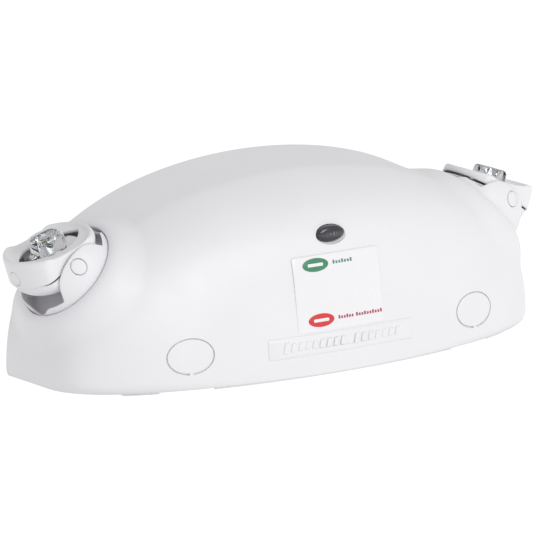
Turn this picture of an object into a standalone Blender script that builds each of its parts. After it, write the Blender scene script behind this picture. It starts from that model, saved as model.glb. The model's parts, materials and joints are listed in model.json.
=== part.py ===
"""Wall-mounted emergency light unit with two adjustable lamp heads.

The back plate lies on the wall plane (y = 0), the front faces -Y and +Z is up.
Sizes below are in millimetres; build_mesh() turns them into metres. While the
pieces are modelled, z = 0 is the cover's bottom edge. At the end, everything is
lowered so that the origin is on the back face, ORIGIN_HEIGHT above that edge.
"""
import functools
import math

import bmesh
import bpy
from mathutils import Matrix, Vector

MM = 0.001
ORIGIN_HEIGHT = 45.0

# ---- housing -------------------------------------------------------------
HALF_WIDTH = 155.8          # half width of the cover, at its widest
BOTTOM_HALF_WIDTH = 153.9   # half width of the bottom edge
HEIGHT_WALL = 105.8         # height of the arch on the wall
HEIGHT_CREASE = 101.8       # height of the arch at the front crease
CREASE_DEPTH = 43.2         # distance of the crease from the wall
SIDE_DEPTH = 37.8           # the sides are straight this far from the wall
TOTAL_DEPTH = 95.6
FACE_LEAN = 0.14            # the face leans back this much for each unit of height
BROW_POWER = 7.4            # how late and tightly the face turns into the top
ARCH_POWER = 2.7
PLAN_POWER = 2.9            # roundness of the plan at its widest level
BOTTOM_PLAN_POWER = 2.2     # roundness of the plan at the bottom edge
PLAIN_DEPTH = 65.0          # beyond this, the sections' feet spread out
FOOT_POWER = 1.7            # loss of arch power at the front of the cover
CURL_HEIGHT = 6.5           # height of the rounded under-edge
WALL = 2.5                  # wall thickness of the cover
GAP = 0.4                   # clearance between neighbouring pieces

# ---- lamps ---------------------------------------------------------------
SEAT_CENTRE = (136.7, -29.4, 60.8)     # centre of the swivel base, right-hand lamp
SEAT_LEAN = 48.0            # lean of the swivel axis from the vertical, degrees
HEAD_LEAN = 18.7            # lean of the head's axis from the vertical, degrees
BASE_RADIUS = 28.1
PIVOT_HEIGHT = 11.7         # tilt axis above the base plane, along the swivel axis
CUP_DEPTH = 10.0
CUP_FLOOR = 8.5
CUP_INNER = 26.3
ARM_INNER = 21.6            # half distance between the inner faces of the arms
NECK_RADIUS = 9.6
NECK_LENGTH = 6.0
BLEND = 15.0                # width of the smooth land round a seat
HEAD_RADIUS = 25.4
HEAD_FLAT = 20.0            # half distance between the head's flat sides
HEAD_WALL = 1.6
RIM_HEIGHT = 9.7            # the rim above the tilt axis
PARTING_LEAN = 13.0         # slant of the slot between bezel and rear shell, degrees
BULLET_DEPTH = 15.0
EYE_HALF_LENGTH = 20.0
EYE_HALF_WIDTH = 12.0
PIN_RADIUS = 2.5
PIN_HEAD_RADIUS = 4.05

# ---- face ----------------------------------------------------------------
BUTTON_HEIGHT = 73.0
BUTTON_HALF = (9.1, 4.4)
KNOCKOUT_AT = (95.0, 18.7)
KNOCKOUT_HALF = (13.8, 9.5)
LABEL_BOX = (-28.5, 22.7, 28.5, 63.2)
BADGE_BOX = (-48.4, 10.8, 48.4, 21.9)

COLOURS = {
    "white_plastic": ((0.80, 0.80, 0.82), 0.42, 0.0),
    "grey_plastic": ((0.30, 0.30, 0.33), 0.40, 0.0),
    "button_plastic": ((0.045, 0.040, 0.055), 0.25, 0.0),
    "label_film": ((0.84, 0.84, 0.85), 0.25, 0.0),
    "clear_plastic": ((0.75, 0.77, 0.78), 0.08, 0.0),
    "black_plastic": ((0.02, 0.02, 0.022), 0.45, 0.0),
    "green_board": ((0.03, 0.16, 0.06), 0.45, 0.0),
    "bright_metal": ((0.80, 0.80, 0.80), 0.22, 1.0),
    "steel": ((0.55, 0.55, 0.56), 0.38, 1.0),
    "core_steel": ((0.20, 0.19, 0.19), 0.55, 1.0),
    "copper": ((0.62, 0.27, 0.12), 0.35, 1.0),
    "brass": ((0.75, 0.56, 0.22), 0.30, 1.0),
    "battery_plastic": ((0.05, 0.055, 0.07), 0.50, 0.0),
}


# ---- scene and mesh helpers ----------------------------------------------
def clear_scene():
    for old in list(bpy.data.objects):
        bpy.data.objects.remove(old, do_unlink=True)


def make_material(name):
    colour, roughness, metallic = COLOURS[name]
    material = bpy.data.materials.get(name) or bpy.data.materials.new(name)
    material.use_nodes = True
    shader = material.node_tree.nodes["Principled BSDF"]
    shader.inputs["Base Color"].default_value = (*colour, 1.0)
    shader.inputs["Roughness"].default_value = roughness
    shader.inputs["Metallic"].default_value = metallic
    return material


def build_mesh(name, points, faces):
    """A closed mesh, facing outwards, from points in millimetres."""
    mesh = bpy.data.meshes.new(name)
    mesh.from_pydata([tuple(c * MM for c in p) for p in points], [], faces)
    shape = bmesh.new()
    shape.from_mesh(mesh)
    bmesh.ops.recalc_face_normals(shape, faces=shape.faces)
    if shape.calc_volume(signed=True) < 0:
        bmesh.ops.reverse_faces(shape, faces=shape.faces)
    shape.to_mesh(mesh)
    shape.free()
    return mesh


def add_object(name, mesh, material=None, parent=None):
    thing = bpy.data.objects.new(name, mesh)
    bpy.context.scene.collection.objects.link(thing)
    if material:
        mesh.materials.clear()
        mesh.materials.append(make_material(material))
    if parent:
        thing.parent = parent
    return thing


def add_empty(name, matrix, parent=None):
    empty = bpy.data.objects.new(name, None)
    bpy.context.scene.collection.objects.link(empty)
    empty.parent = parent
    empty.matrix_basis = matrix
    return empty


def combine(thing, tool_mesh, operation="DIFFERENCE", matrix=None):
    """Cuts, joins or intersects a tool shape with an object, in the object's own frame."""
    parent, place = thing.parent, thing.matrix_basis.copy()
    thing.parent, thing.matrix_basis = None, Matrix()
    tool = bpy.data.objects.new("tool", tool_mesh)
    bpy.context.scene.collection.objects.link(tool)
    tool.matrix_basis = matrix or Matrix()
    modifier = thing.modifiers.new("combine", "BOOLEAN")
    modifier.operation = operation
    modifier.solver = "EXACT"
    modifier.object = tool
    bpy.context.view_layer.update()
    evaluated = thing.evaluated_get(bpy.context.evaluated_depsgraph_get())
    result = bpy.data.meshes.new_from_object(evaluated)
    result.name = thing.name
    thing.modifiers.clear()
    thing.data = result
    thing.parent, thing.matrix_basis = parent, place
    bpy.data.objects.remove(tool, do_unlink=True)


# ---- shapes --------------------------------------------------------------
def revolve(profile, steps=32, ring=False):
    """A turned shape about Z. A ring's profile is a closed loop off the axis."""
    points, faces, rows = [], [], []
    for radius, height in profile:
        if radius < 1e-6:
            rows.append([len(points)] * steps)
            points.append((0.0, 0.0, height))
            continue
        rows.append(list(range(len(points), len(points) + steps)))
        for k in range(steps):
            angle = 2 * math.pi * k / steps
            points.append((radius * math.cos(angle), radius * math.sin(angle), height))
    pairs = list(zip(rows, rows[1:]))
    if ring:
        pairs.append((rows[-1], rows[0]))
    for lower, upper in pairs:
        for k in range(steps):
            n = (k + 1) % steps
            face = []
            for index in (lower[k], lower[n], upper[n], upper[k]):
                if index not in face:
                    face.append(index)
            if len(face) > 2:
                faces.append(face)
    return build_mesh("turned", points, faces)


def prism(outline, low, high, top_scale=1.0):
    """An outline in X and Y raised along Z; top_scale shrinks its upper end."""
    count = len(outline)
    points = [(x, y, low) for x, y in outline]
    points += [(x * top_scale, y * top_scale, high) for x, y in outline]
    faces = [list(range(count))[::-1], list(range(count, 2 * count))]
    for k in range(count):
        n = (k + 1) % count
        faces.append([k, n, count + n, count + k])
    return build_mesh("prism", points, faces)


def block(low, high):
    outline = [(low[0], low[1]), (high[0], low[1]), (high[0], high[1]), (low[0], high[1])]
    return prism(outline, low[2], high[2])


def oval(half_x, half_y, steps=32):
    turn = 2 * math.pi / steps
    return [(half_x * math.cos(k * turn), half_y * math.sin(k * turn)) for k in range(steps)]


def disc(radius, low, high, steps=32):
    return prism(oval(radius, radius, steps), low, high)


def ring(inner, outer, low, high, steps=32):
    return revolve([(inner, low), (outer, low), (outer, high), (inner, high)], steps, ring=True)


def eye(half_length, half_width, steps=7):
    """The pointed oval between two equal arcs."""
    radius = (half_length ** 2 + half_width ** 2) / (2 * half_width)
    spread = math.asin(half_length / radius)
    points = []
    for side in (1, -1):
        for k in range(steps):
            angle = side * spread * (1 - 2 * k / steps)
            points.append((radius * math.sin(angle), side * (radius * math.cos(angle) - radius + half_width)))
    return points


def along_y(y=0.0, x=0.0, z=0.0):
    """Turns a shape raised along Z so that it is raised along +Y."""
    return Matrix.Translation((x * MM, y * MM, z * MM)) @ Matrix.Rotation(-math.pi / 2, 4, "X")


# ---- the housing's surface -----------------------------------------------
def half_width(depth, inset=0.0, bottom=False):
    """Half width of the cover at a distance from the wall."""
    reach = max(0.0, (depth - SIDE_DEPTH) / (TOTAL_DEPTH - SIDE_DEPTH - inset))
    power = BOTTOM_PLAN_POWER if bottom else PLAN_POWER
    width = (BOTTOM_HALF_WIDTH if bottom else HALF_WIDTH) - inset
    return width * math.sqrt(max(0.0, 1 - min(1.0, reach) ** power))


def profile_depth(z, inset=0.0):
    """Distance of the face from the wall on the centre line, at a height."""
    top = HEIGHT_CREASE - inset
    front = TOTAL_DEPTH - inset
    brow = front - CREASE_DEPTH - FACE_LEAN * top
    return front - FACE_LEAN * z - brow * (z / top) ** BROW_POWER


def solve(low, high, test):
    """The value between low and high where test turns false."""
    for _ in range(34):
        middle = (low + high) / 2
        if test(middle):
            low = middle
        else:
            high = middle
    return low


@functools.lru_cache(maxsize=None)
def arch_height(depth, inset=0.0):
    """Height of the cover's arch at a distance from the wall."""
    if depth <= CREASE_DEPTH:
        slope = (HEIGHT_CREASE - HEIGHT_WALL) / CREASE_DEPTH
        return HEIGHT_WALL + slope * depth - inset
    return solve(0.0, HEIGHT_CREASE - inset, lambda z: profile_depth(z, inset) > depth)


def arch_power(depth):
    """Roundness of the section at a distance from the wall."""
    forward = max(0.0, (depth - PLAIN_DEPTH) / (TOTAL_DEPTH - PLAIN_DEPTH))
    return ARCH_POWER - FOOT_POWER * forward ** 2


def face_depth(x, z, inset=0.0):
    """Distance of the front surface from the wall, at x and z."""
    def inside(depth):
        width = max(half_width(depth, inset), 1e-6)
        height = max(arch_height(depth, inset), 1e-6)
        return (abs(x) / width) ** 2 + (max(z, 0.0) / height) ** arch_power(depth) < 1

    return solve(0.0, TOTAL_DEPTH - inset, inside)


def face_frame(x, z, lift=0.0):
    """A frame on the front surface: X across, Y up the face, Z outwards."""
    step = 1.0
    slope_x = (face_depth(x + step, z) - face_depth(x - step, z)) / (2 * step)
    slope_z = (face_depth(x, z + step) - face_depth(x, z - step)) / (2 * step)
    outward = Vector((-slope_x, -1.0, -slope_z)).normalized()
    across = Vector((0, 0, 1)).cross(outward).normalized()
    up = outward.cross(across)
    turn = Matrix((across, up, outward)).transposed().to_4x4()
    spot = Vector((x, -face_depth(x, z), z)) + outward * lift
    return Matrix.Translation(spot * MM) @ turn


def lamp_frame(side, lean, centre):
    """Frame of a lamp: Z along the axis, X outwards. side is 1 for right, -1 for left."""
    place = Vector((side * centre[0], centre[1], centre[2])) * MM
    turn = Matrix.Rotation(math.radians(lean), 4, "Y")
    if side < 0:
        turn = Matrix.Rotation(math.pi, 4, "Z") @ turn
    return Matrix.Translation(place) @ turn


def land(point):
    """Moves a surface point onto the flat land round the nearer lamp seat."""
    side = 1 if point.x > 0 else -1
    lean = math.radians(SEAT_LEAN)
    axis = Vector((side * math.sin(lean), 0, math.cos(lean)))
    offset = point - Vector((side * SEAT_CENTRE[0], SEAT_CENTRE[1], SEAT_CENTRE[2]))
    height = offset.dot(axis)
    radius = (offset - axis * height).length
    share = min(1.0, max(0.0, (BASE_RADIUS + BLEND - radius) / BLEND))
    share = share * share * (3 - 2 * share)
    return point - axis * (height * share)


def dome(inset, rows, columns, overhang=0.0, with_land=False):
    """The housing's solid, shrunk by inset and open past the wall by overhang."""
    front = TOTAL_DEPTH - inset
    depths = [SIDE_DEPTH * k / 5 for k in range(5)]
    count = rows - 5
    depths += [SIDE_DEPTH + (front - SIDE_DEPTH) * math.sin(math.pi / 2 * k / count) for k in range(count)]
    points, faces = [], []
    for row, depth in enumerate(depths):
        width = half_width(depth, inset)
        bottom = half_width(depth, inset, bottom=True)
        height = arch_height(depth, inset)
        curl = min(CURL_HEIGHT, 0.4 * height)
        for column in range(columns + 1):
            share = column / columns
            angle = math.pi * (share - 0.55 * math.sin(2 * math.pi * share) / (2 * math.pi))
            x = width * math.cos(angle)
            z = height * max(0.0, math.sin(angle)) ** (2 / arch_power(depth))
            if z < curl:
                tuck = 1 - math.sqrt(1 - (1 - z / curl) ** 2)
                x *= 1 - tuck * (1 - bottom / width)
            point = Vector((x, -depth, z))
            if with_land:
                point = land(point)
            if overhang and row == 0:
                point.y = overhang
            points.append(tuple(point))
    if overhang:
        for index in range(0, len(points), columns + 1):
            for end in (index, index + columns):
                x, y, _ = points[end]
                points[end] = (x, y, -overhang)
    stride = columns + 1
    for row in range(len(depths) - 1):
        for column in range(columns):
            a = row * stride + column
            faces.append([a, a + 1, a + stride + 1, a + stride])
        faces.append([row * stride + columns, row * stride, (row + 1) * stride, (row + 1) * stride + columns])
    faces.append(list(range(stride)))
    tip = len(points)
    points.append((0.0, -front, -overhang))
    last = (len(depths) - 1) * stride
    for column in range(columns):
        faces.append([last + column, last + column + 1, tip])
    faces.append([last + columns, last, tip])
    return build_mesh("dome", points, faces)


def skin(box, low, high, across=12, up=6):
    """A thin curved sheet that follows the front surface, between two lifts."""
    x0, z0, x1, z1 = box
    points, faces = [], []
    for lift in (low, high):
        for row in range(up + 1):
            for column in range(across + 1):
                x = x0 + (x1 - x0) * column / across
                z = z0 + (z1 - z0) * row / up
                points.append((x, -face_depth(x, z) - lift, z))
    stride = across + 1
    layer = stride * (up + 1)
    for row in range(up):
        for column in range(across):
            a = row * stride + column
            faces.append([a, a + stride, a + stride + 1, a + 1])
            faces.append([layer + a, layer + a + 1, layer + a + stride + 1, layer + a + stride])
    edge = list(range(stride))
    edge += [row * stride + across for row in range(1, up + 1)]
    edge += [up * stride + column for column in range(across - 1, -1, -1)]
    edge += [row * stride for row in range(up - 1, 0, -1)]
    for k, a in enumerate(edge):
        b = edge[(k + 1) % len(edge)]
        faces.append([a, b, layer + b, layer + a])
    return build_mesh("skin", points, faces)


# ---- housing pieces ------------------------------------------------------
def add_front_cover():
    cover = add_object("front_cover", dome(0.0, 19, 34, with_land=True), "white_plastic")
    hollow = add_object("hollow", dome(WALL, 14, 24, overhang=5.0))
    pocket_floor = -(CUP_DEPTH + GAP)
    for side in (1, -1):
        seat = lamp_frame(side, SEAT_LEAN, SEAT_CENTRE)
        plug = disc(BASE_RADIUS + GAP + 1.6, pocket_floor - 2.0, 60.0, 36)
        combine(hollow, plug, matrix=seat)
    combine(cover, hollow.data)
    bpy.data.objects.remove(hollow, do_unlink=True)
    for side in (1, -1):
        seat = lamp_frame(side, SEAT_LEAN, SEAT_CENTRE)
        combine(cover, disc(BASE_RADIUS + GAP, pocket_floor, 40.0, 36), matrix=seat)
        combine(cover, disc(NECK_RADIUS + GAP, pocket_floor - 6.0, 2.0, 24), matrix=seat)
        groove = revolve([(0.96, -1.0), (1.0, -1.0), (1.0, 3.0), (0.96, 3.0)], 28, ring=True)
        spread = Matrix.Diagonal((*KNOCKOUT_HALF, 1.0, 1.0))
        spot = face_frame(side * KNOCKOUT_AT[0], KNOCKOUT_AT[1])
        combine(cover, groove, matrix=spot @ spread)
    hole = prism(oval(BUTTON_HALF[0] + 0.3, BUTTON_HALF[1] + 0.3, 28), -20.0, 20.0)
    combine(cover, hole, matrix=along_y(-face_depth(0, BUTTON_HEIGHT), 0, BUTTON_HEIGHT))
    mesh = cover.data
    mesh.materials.clear()
    mesh.materials.append(make_material("white_plastic"))
    return cover


def bottom_depth(x, inset):
    """Distance from the wall of the cover's bottom edge, moved in by inset."""
    share = min(1.0, abs(x) / (BOTTOM_HALF_WIDTH - inset))
    reach = TOTAL_DEPTH - SIDE_DEPTH - inset
    return SIDE_DEPTH + reach * (1 - share ** 2) ** (1 / BOTTOM_PLAN_POWER)


def edge_strip(x0, x1, outer, inner, low, high, steps=6):
    """A strip that follows the front bottom edge between two insets."""
    across = [x0 + (x1 - x0) * k / steps for k in range(steps + 1)]
    outline = [(x, -bottom_depth(x, outer)) for x in across]
    outline += [(x, -bottom_depth(x, inner)) for x in reversed(across)]
    return prism(outline, low, high)


def upright(outline, back, front):
    """An outline in X and Z, raised along Y from back to front."""
    mesh = prism([(x, -z) for x, z in outline], back, front)
    mesh.transform(Matrix.Rotation(-math.pi / 2, 4, "X"))
    return mesh


def post(x, z, radius, back, front, steps=16):
    """A round post along Y."""
    return upright([(x + a, z + b) for a, b in oval(radius, radius, steps)], back, front)


def box_piece(name, low, high, material):
    return add_object(name, block(low, high), material)


def add_back_plate():
    inset = WALL + PLATE_PLAY
    outline = []
    for k in range(29):
        angle = math.pi * k / 28
        x = (BOTTOM_HALF_WIDTH - inset) * math.cos(angle)
        z = (HEIGHT_WALL - inset) * max(0.0, math.sin(angle)) ** (2 / ARCH_POWER)
        outline.append((x, max(z, GAP + 0.7)))
    plate = add_object("back_plate", upright(outline, -PLATE, 0.0))
    inset += 0.3
    edge = BOTTOM_HALF_WIDTH - inset
    curve = [edge * math.cos(math.pi * k / 24) for k in range(25)]
    tray = [(x, -bottom_depth(x, inset)) for x in curve]
    tray = [(edge, -PLATE / 2)] + tray + [(-edge, -PLATE / 2)]
    combine(plate, prism(tray, GAP, GAP + PLATE), "UNION")
    for x0, x1 in TABS:
        combine(plate, edge_strip(x0, x1, 4.8, 6.8, -0.8, GAP + 0.5), "UNION")
        combine(plate, edge_strip(x0, x1, 1.6, 7.2, -1.3, -0.4), "UNION")
    for x, z in BOARD_POSTS:
        combine(plate, post(x, z, 3.2, -BOARD_BACK, -PLATE / 2), "UNION")
        combine(plate, post(x, z, 1.5, -BOARD_BACK - 1, -PLATE))
    for x in STRAP_SCREWS:
        combine(plate, post(x, STRAP_HEIGHT, 1.5, -8.0, 3.0))
    for side in (1, -1):
        seat = lamp_frame(side, SEAT_LEAN, SEAT_CENTRE)
        combine(plate, disc(BASE_RADIUS + 2.6, -CUP_DEPTH - 3.4, 60.0, 28), matrix=seat)
    combine(plate, post(*CABLE_HOLE, 9.5, -10.0, 5.0, 24))
    for x, z in KEYHOLES:
        combine(plate, post(x, z, 4.0, -10.0, 5.0))
        slot = upright([(x - 1.9, z), (x + 1.9, z), (x + 1.9, z + 8), (x - 1.9, z + 8)], -10.0, 5.0)
        combine(plate, slot)
    plate.data.materials.clear()
    plate.data.materials.append(make_material("white_plastic"))


def add_face_pieces():
    add_object("status_label", skin(LABEL_BOX, 0.15, 0.4), "label_film")
    add_object("badge_plate", skin(BADGE_BOX, 0.15, 0.75, 16, 2), "white_plastic")


def add_test_button():
    depth = face_depth(0, BUTTON_HEIGHT)
    spot = Matrix.Translation(Vector((0, -depth, BUTTON_HEIGHT)) * MM)
    button = add_object("test_button", prism(oval(*BUTTON_HALF, 28), 0.0, 1.0))
    button.matrix_basis = spot
    points, faces = [], []
    rows = [(1.16, 8.2), (1.16, 7.3), (1.0, 7.3), (1.0, 0.2), (0.86, -1.0), (0.5, -1.7)]
    steps = 24
    for scale, back in rows:
        grow = (scale - 1.0) * BUTTON_HALF[0] if scale > 1 else 0.0
        for a, b in oval(1.0, 1.0, steps):
            x = a * (BUTTON_HALF[0] * min(scale, 1.0) + grow)
            z = b * (BUTTON_HALF[1] * min(scale, 1.0) + grow)
            points.append((x, back, z))
    for row in range(len(rows) - 1):
        for k in range(steps):
            n = (k + 1) % steps
            a = row * steps
            faces.append([a + k, a + n, a + steps + n, a + steps + k])
    faces.append(list(range(steps)))
    faces.append(list(range((len(rows) - 1) * steps, len(rows) * steps)))
    button.data = build_mesh("test_button", points, faces)
    button.data.materials.append(make_material("button_plastic"))
    plunger = add_object("switch_plunger", post(PLUNGER_X, 0, 2.6, 8.5, 12.0), "black_plastic", button)
    plunger.matrix_basis = Matrix()


def add_indicator_board(cover):
    depth = face_depth(0, BUTTON_HEIGHT)
    board_front = depth - 17.0
    for x in (-17.0, 17.0):
        front = face_depth(x, INDICATOR_SCREW_Z, WALL) + 0.8
        combine(cover, post(x, INDICATOR_SCREW_Z, 2.8, -front, -board_front - 0.3), "UNION")
        combine(cover, post(x, INDICATOR_SCREW_Z, 1.5, -board_front - 6.0, -board_front + 1.0))
    board = box_piece("indicator_board", (-22, -board_front, 60), (22, -board_front + 1.6, 86), "green_board")
    for x, name in ((-17.0, "indicator_screw_left"), (17.0, "indicator_screw_right")):
        combine(board, post(x, INDICATOR_SCREW_Z, 1.5, -board_front - 1, -board_front + 3))
        screw = add_object(name, post(x, INDICATOR_SCREW_Z, 1.1, -board_front - 5.0, -board_front + 2.4), "steel")
        combine(screw, post(x, INDICATOR_SCREW_Z, 2.4, -board_front + 1.9, -board_front + 3.2), "UNION")
    board.data.materials.clear()
    board.data.materials.append(make_material("green_board"))
    low = (PLUNGER_X - 5.5, -board_front - 6.6, BUTTON_HEIGHT - 5.5)
    high = (PLUNGER_X + 5.5, -board_front - 0.2, BUTTON_HEIGHT + 5.5)
    switch = box_piece("tact_switch", low, high, "black_plastic")
    combine(switch, post(PLUNGER_X, BUTTON_HEIGHT, 2.9, -board_front - 8, -board_front - 2.4))
    lamp = post(LED_X, BUTTON_HEIGHT, 2.4, -board_front - 6.4, -board_front - 0.2)
    add_object("pilot_led", lamp, "clear_plastic")


def add_main_board():
    x0, z0, x1, z1 = BOARD_BOX
    front = -BOARD_BACK - 1.8
    board = box_piece("main_board", (x0, front, z0), (x1, -BOARD_BACK - 0.2, z1), "green_board")
    for number, (x, z) in enumerate(BOARD_POSTS, 1):
        combine(board, post(x, z, 1.6, front - 1, -BOARD_BACK + 1))
        screw = add_object(f"board_screw_{number}", post(x, z, 1.1, front - 0.6, -PLATE - 1.0), "steel")
        combine(screw, post(x, z, 2.6, front - 1.6, front - 0.3), "UNION")
    board.data.materials.clear()
    board.data.materials.append(make_material("green_board"))
    face = front - 0.3
    x, z = 66.0, 34.0
    core = box_piece("transformer_core", (x - 20, face - 26, z - 17), (x + 20, face - 8, z + 17), "core_steel")
    for low in (-13.5, 6.5):
        combine(core, block((x + low, face - 30, z - 10.5), (x + low + 7, face, z + 10.5)))
    coil = box_piece("transformer_coil", (x - 12.9, face - 33, z - 9.9), (x + 12.9, face - 0.1, z + 9.9), "copper")
    combine(coil, block((x - 6.9, face - 26.4, z - 12), (x + 6.9, face - 7.6, z + 12)))
    box_piece("charger_relay", (17, face - 15, 12), (37, face, 27), "black_plastic")
    box_piece("lead_connector", (16, face - 9, 32), (38, face, 39), "grey_plastic")
    add_object("capacitor_large", post(24, 50, 5.0, face - 16, face, 20), "black_plastic")
    add_object("capacitor_small", post(38, 50, 4.0, face - 12, face, 20), "black_plastic")
    add_object("fuse_tube", post(56, 57.0, 2.5, face - 13, face, 14), "clear_plastic")


def add_battery():
    x0, y0, z0 = BATTERY_LOW
    x1, y1, z1 = BATTERY_HIGH
    box_piece("battery_case", BATTERY_LOW, BATTERY_HIGH, "battery_plastic")
    for name, z in (("battery_terminal_plus", 62.0), ("battery_terminal_minus", 16.0)):
        box_piece(name, (x1 + 0.2, y0 + 8, z - 2.4), (x1 + 6.5, y0 + 9, z + 2.4), "brass")
    low, high = STRAP_HEIGHT - 6, STRAP_HEIGHT + 6
    near, far = y0 - GAP, y0 - GAP - 1.2
    left, right = x0 - GAP, x1 + GAP
    foot = -PLATE - 0.3
    outline = [(left - 9.0, foot), (left, foot), (left, near), (right, near), (right, foot), (right + 9.0, foot)]
    outline += [(right + 9.0, foot - 1.2), (right + 1.2, foot - 1.2), (right + 1.2, far)]
    outline += [(left - 1.2, far), (left - 1.2, foot - 1.2), (left - 9.0, foot - 1.2)]
    strap = add_object("battery_strap", prism(outline, low, high), "steel")
    for x, name in zip(STRAP_SCREWS, ("strap_screw_left", "strap_screw_right")):
        combine(strap, post(x, STRAP_HEIGHT, 1.6, -8.0, 0.0))
        screw = add_object(name, post(x, STRAP_HEIGHT, 1.2, -4.4, -0.6), "steel")
        combine(screw, post(x, STRAP_HEIGHT, 2.7, -5.9, -4.3), "UNION")


# ---- lamp pieces ---------------------------------------------------------
def paint(thing, material):
    thing.data.materials.clear()
    thing.data.materials.append(make_material(material))


def slab(half, reach=40.0):
    return block((-reach, -half, -reach), (reach, half, reach))


def add_swivel_base(side, seat):
    steps = 7
    profile = [(0, -CUP_DEPTH - NECK_LENGTH), (NECK_RADIUS, -CUP_DEPTH - NECK_LENGTH)]
    profile += [(NECK_RADIUS, -CUP_DEPTH), (BASE_RADIUS, -CUP_DEPTH)]
    for k in range(steps + 1):
        angle = math.pi / 2 * k / steps
        profile.append((BASE_RADIUS * math.cos(angle), BASE_RADIUS * math.sin(angle)))
    profile[-1] = (0, BASE_RADIUS)
    base = add_object(f"swivel_base_{side}", revolve(profile, 30), "white_plastic", seat)
    bowl = [(0, -CUP_FLOOR), (CUP_INNER, -CUP_FLOOR), (CUP_INNER, 0), (CUP_INNER + 1.0, 4.0)]
    bowl += [(CUP_INNER + 1.7, PIVOT_HEIGHT), (CUP_INNER + 1.7, 40.0), (0, 40.0)]
    hollow = add_object("hollow", revolve(bowl, 30))
    combine(hollow, slab(ARM_INNER - 1.1, 60.0), "INTERSECT")
    combine(base, hollow.data)
    bpy.data.objects.remove(hollow, do_unlink=True)
    outline = [(ARM_INNER, 40.0)]
    for k in range(-5, 6):
        share = -k / 5
        outline.append((share * ARM_INNER, TROUGH_FLOOR + TROUGH_RISE * abs(share) ** 1.6))
    outline.append((-ARM_INNER, 40.0))
    turn = Matrix(((0, 0, 1), (1, 0, 0), (0, 1, 0))).to_4x4()
    combine(base, prism(outline, -40.0, 40.0), matrix=turn)
    combine(base, disc(4.0, -30.0, 0.0, 20))
    hole = along_y(0.0, 0.0, PIVOT_HEIGHT)
    combine(base, disc(PIN_RADIUS + 0.3, -40.0, 40.0, 20), matrix=hole)
    for low, high in ((-40.0, -24.9), (24.9, 40.0)):
        combine(base, disc(PIN_HEAD_RADIUS + 0.3, low, high, 24), matrix=hole)
    paint(base, "white_plastic")
    below = -CUP_DEPTH - GAP - 2.0
    add_object(f"spring_washer_{side}", ring(10.1, 13.5, below - 0.8, below - 0.3, 24), "steel", seat)
    add_object(f"retaining_ring_{side}", ring(10.1, 14.0, below - 3.2, below - 1.1, 24), "black_plastic", seat)
    for name, sign in (("outer", 1), ("inner", -1)):
        front = -1 if side == "right" else 1
        place = "front" if sign * front > 0 else "rear"
        pin = add_object(f"pivot_pin_{place}_{side}", disc(PIN_HEAD_RADIUS, 25.3, 26.5, 24), None, seat)
        pin.matrix_basis = Matrix.Translation((0, 0, PIVOT_HEIGHT * MM)) @ Matrix.Rotation(-sign * math.pi / 2, 4, "X")
        combine(pin, disc(PIN_RADIUS, 17.6, 25.6, 16), "UNION")
        paint(pin, "white_plastic")


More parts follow.
